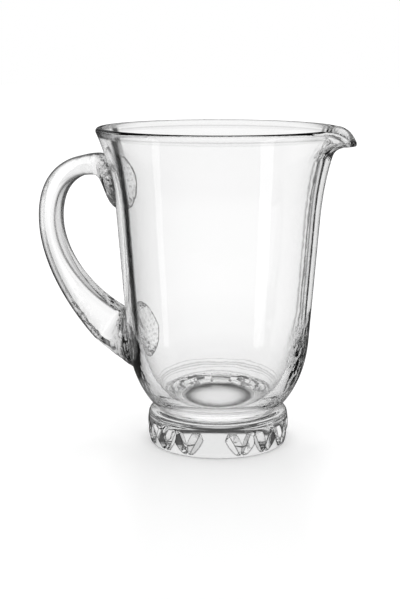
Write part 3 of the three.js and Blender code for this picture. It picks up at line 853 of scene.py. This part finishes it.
floor_mesh = bpy.data.meshes.new("floor")
floor_signs = (-1, -1), (1, -1), (1, 1), (-1, 1)
floor_corners = [(FLOOR_REACH * x, FLOOR_REACH * y, -FLOOR_DROP) for x, y in floor_signs]
floor_mesh.from_pydata(floor_corners, [], [(0, 1, 2, 3)])
floor = bpy.data.objects.new("floor", floor_mesh)
scene.collection.objects.link(floor)
paper = bpy.data.materials.new("white_paper")
paper.use_nodes = True
sheet = paper.node_tree
fibre = sheet.nodes["Principled BSDF"]
fibre.inputs["Roughness"].default_value = 1.0
fibre.inputs["Specular IOR Level"].default_value = 0.0
fibre.inputs["Emission Color"].default_value = (1, 1, 1, 1)
# Painted dark reflection: for rays that the glass's outside mirrors, the paper is nearly black and, below,
# loses its glow.
sheet.links.new(dim_in_mirror(sheet, PAPER_WHITE, MIRRORED_WHITE), fibre.inputs["Base Color"])

# Painted light on the paper: a glow under the foot and under the bowl's floor, and lighter paper beside and
# behind the foot for camera rays alone; PAPER_GLOW is the even glow of the whole sheet.
PAPER_GLOW = 0.14
FOOT_GLOW, FOOT_GLOW_EDGE = 0.55, (0.039, 0.0435)
FLOOR_GLOW, FLOOR_GLOW_EDGE = 0.25, (0.022, 0.032)
BESIDE_GLOW, BESIDE_EDGE = 0.1, (0.045, 0.075)
BEHIND_GLOW, BEHIND_EDGE = 0.12, (-0.045, 0.0)
CLEAR_OF_FOOT = 0.046, 0.056
spot = put(sheet, "ShaderNodeTexCoord").outputs["Object"]
from_axis = maths(sheet, "SQRT", dot(sheet, spot, spot))
under_foot = between(sheet, from_axis, FOOT_GLOW, PAPER_GLOW, *FOOT_GLOW_EDGE)
under_floor = between(sheet, from_axis, FLOOR_GLOW, 0.0, *FLOOR_GLOW_EDGE)
beside = between(sheet, maths(sheet, "ABSOLUTE", dot(sheet, spot, sideways)), 0.0, BESIDE_GLOW, *BESIDE_EDGE)
behind = between(sheet, dot(sheet, spot, away), 0.0, BEHIND_GLOW, *BEHIND_EDGE)
clear_of_foot = between(sheet, from_axis, 0.0, 1.0, *CLEAR_OF_FOOT)
lit_round = maths(sheet, "MULTIPLY", maths(sheet, "MAXIMUM", beside, behind), clear_of_foot)
seen_bare = maths(sheet, "MULTIPLY", lit_round, put(sheet, "ShaderNodeLightPath").outputs["Is Camera Ray"])
glow = maths(sheet, "ADD", maths(sheet, "ADD", under_foot, under_floor), seen_bare)
glow = maths(sheet, "MULTIPLY", glow, dim_in_mirror(sheet, 1.0, 0.0))
sheet.links.new(glow, fibre.inputs["Emission Strength"])
floor_mesh.materials.append(paper)

DARK_RING = ((0.0, 1.0), (0.515, 1.0), (0.545, 0.1), (0.615, 0.1), (0.645, 1.0), (1.0, 1.0))
TURNED_BACK_LEVELS = ((0, 1.0), (1, 0.9), (2, 0.6), (3, 0.2), (7, 0.85))
MOST_TURNS = 8.0
JUST_BEFORE = 0.01
VIEWER_SIDE_LEVEL, VIEWER_SIDE_EDGE = 0.45, (-0.1, 0.2)
VIEWER_SIDE_RISE = 0.12
studio = bpy.data.worlds.new("studio")
scene.world = studio
studio.use_nodes = True
room = studio.node_tree
ray_way = put(room, "ShaderNodeTexCoord").outputs["Generated"]
ray_height = put(room, "ShaderNodeSeparateXYZ", Vector=ray_way).outputs["Z"]
path = put(room, "ShaderNodeLightPath").outputs
ring_above = grey_ramp(room, ray_height, DARK_RING)
turns_in_glass = maths(room, "DIVIDE", path["Glossy Depth"], MOST_TURNS)
turn_levels = [(max(0.0, times / MOST_TURNS - JUST_BEFORE), level) for times, level in TURNED_BACK_LEVELS]
turned_back = grey_ramp(room, turns_in_glass, turn_levels, "CONSTANT")
viewer_side = between(room, dot(room, ray_way, -away), 1.0, VIEWER_SIDE_LEVEL, *VIEWER_SIDE_EDGE)
above_horizon = between(room, ray_height, 0.0, 1.0, 0.0, VIEWER_SIDE_RISE)
turned_once = maths(room, "GREATER_THAN", path["Glossy Depth"], 0.5)
viewer_shade = between(room, maths(room, "MULTIPLY", turned_once, above_horizon), 1.0, viewer_side)
shade = maths(room, "MULTIPLY", dim_in_mirror(room, 1.0, MIRRORED_WHITE), viewer_shade)
in_glass = mixed(room, 1.0, mixed(room, 1.0, ring_above, turned_back, "MULTIPLY"), shade, "MULTIPLY")
by_glass = maths(room, "MAXIMUM", path["Is Glossy Ray"], path["Is Transmission Ray"])
by_glass = maths(room, "MULTIPLY", by_glass, none_yet(room, path["Diffuse Depth"]))
room.links.new(mixed(room, by_glass, (1, 1, 1, 1), in_glass), room.nodes["Background"].inputs["Color"])

SOFTBOXES = ((-61, 0.032), (45, 0.056))
SOFTBOX_LENGTH = 0.24
SOFTBOX_DISTANCE = 0.25
SOFTBOX_HEIGHT = 0.121
SOFTBOX_POWER = 0.36 * math.pi
for turn_from_view, strip_width in SOFTBOXES:
    softbox = bpy.data.lights.new("softbox", "AREA")
    softbox.shape = "RECTANGLE"
    softbox.size, softbox.size_y = strip_width, SOFTBOX_LENGTH
    softbox.energy = SOFTBOX_POWER * strip_width
    softbox.use_nodes = True
    tube = softbox.node_tree
    in_air = none_yet(tube, put(tube, "ShaderNodeLightPath").outputs["Transmission Depth"])
    tube.links.new(in_air, tube.nodes["Emission"].inputs["Strength"])
    lamp = bpy.data.objects.new("softbox", softbox)
    scene.collection.objects.link(lamp)
    lamp_turn = VIEW_TURN + math.radians(turn_from_view)
    lamp_way = np.array((math.sin(lamp_turn), -math.cos(lamp_turn), 0))
    lamp.location = SOFTBOX_DISTANCE * lamp_way + (0, 0, SOFTBOX_HEIGHT)
    lamp.rotation_euler = (math.radians(90), 0, lamp_turn)
    lamp.visible_camera = lamp.visible_transmission = lamp.visible_diffuse = False

CAMERA_LENS = 78.06
CAMERA_SENSOR = 36
CAMERA_DISTANCE = 0.848
CAMERA_SIDESTEP = 0.0121
CAMERA_HEIGHT = 0.267
CAMERA_TILT = math.radians(11.42)
camera = bpy.data.cameras.new("camera")
camera.lens = CAMERA_LENS
camera.sensor_width = CAMERA_SENSOR
view = bpy.data.objects.new("camera", camera)
scene.collection.objects.link(view)
view.location = -CAMERA_DISTANCE * away - CAMERA_SIDESTEP * sideways + (0, 0, CAMERA_HEIGHT)
view.rotation_euler = (math.pi / 2 - CAMERA_TILT, 0, VIEW_TURN)
scene.camera = view

scene.cycles.max_bounces = 32
scene.cycles.transmission_bounces = 32
scene.cycles.glossy_bounces = 14
scene.view_settings.view_transform = "Standard"
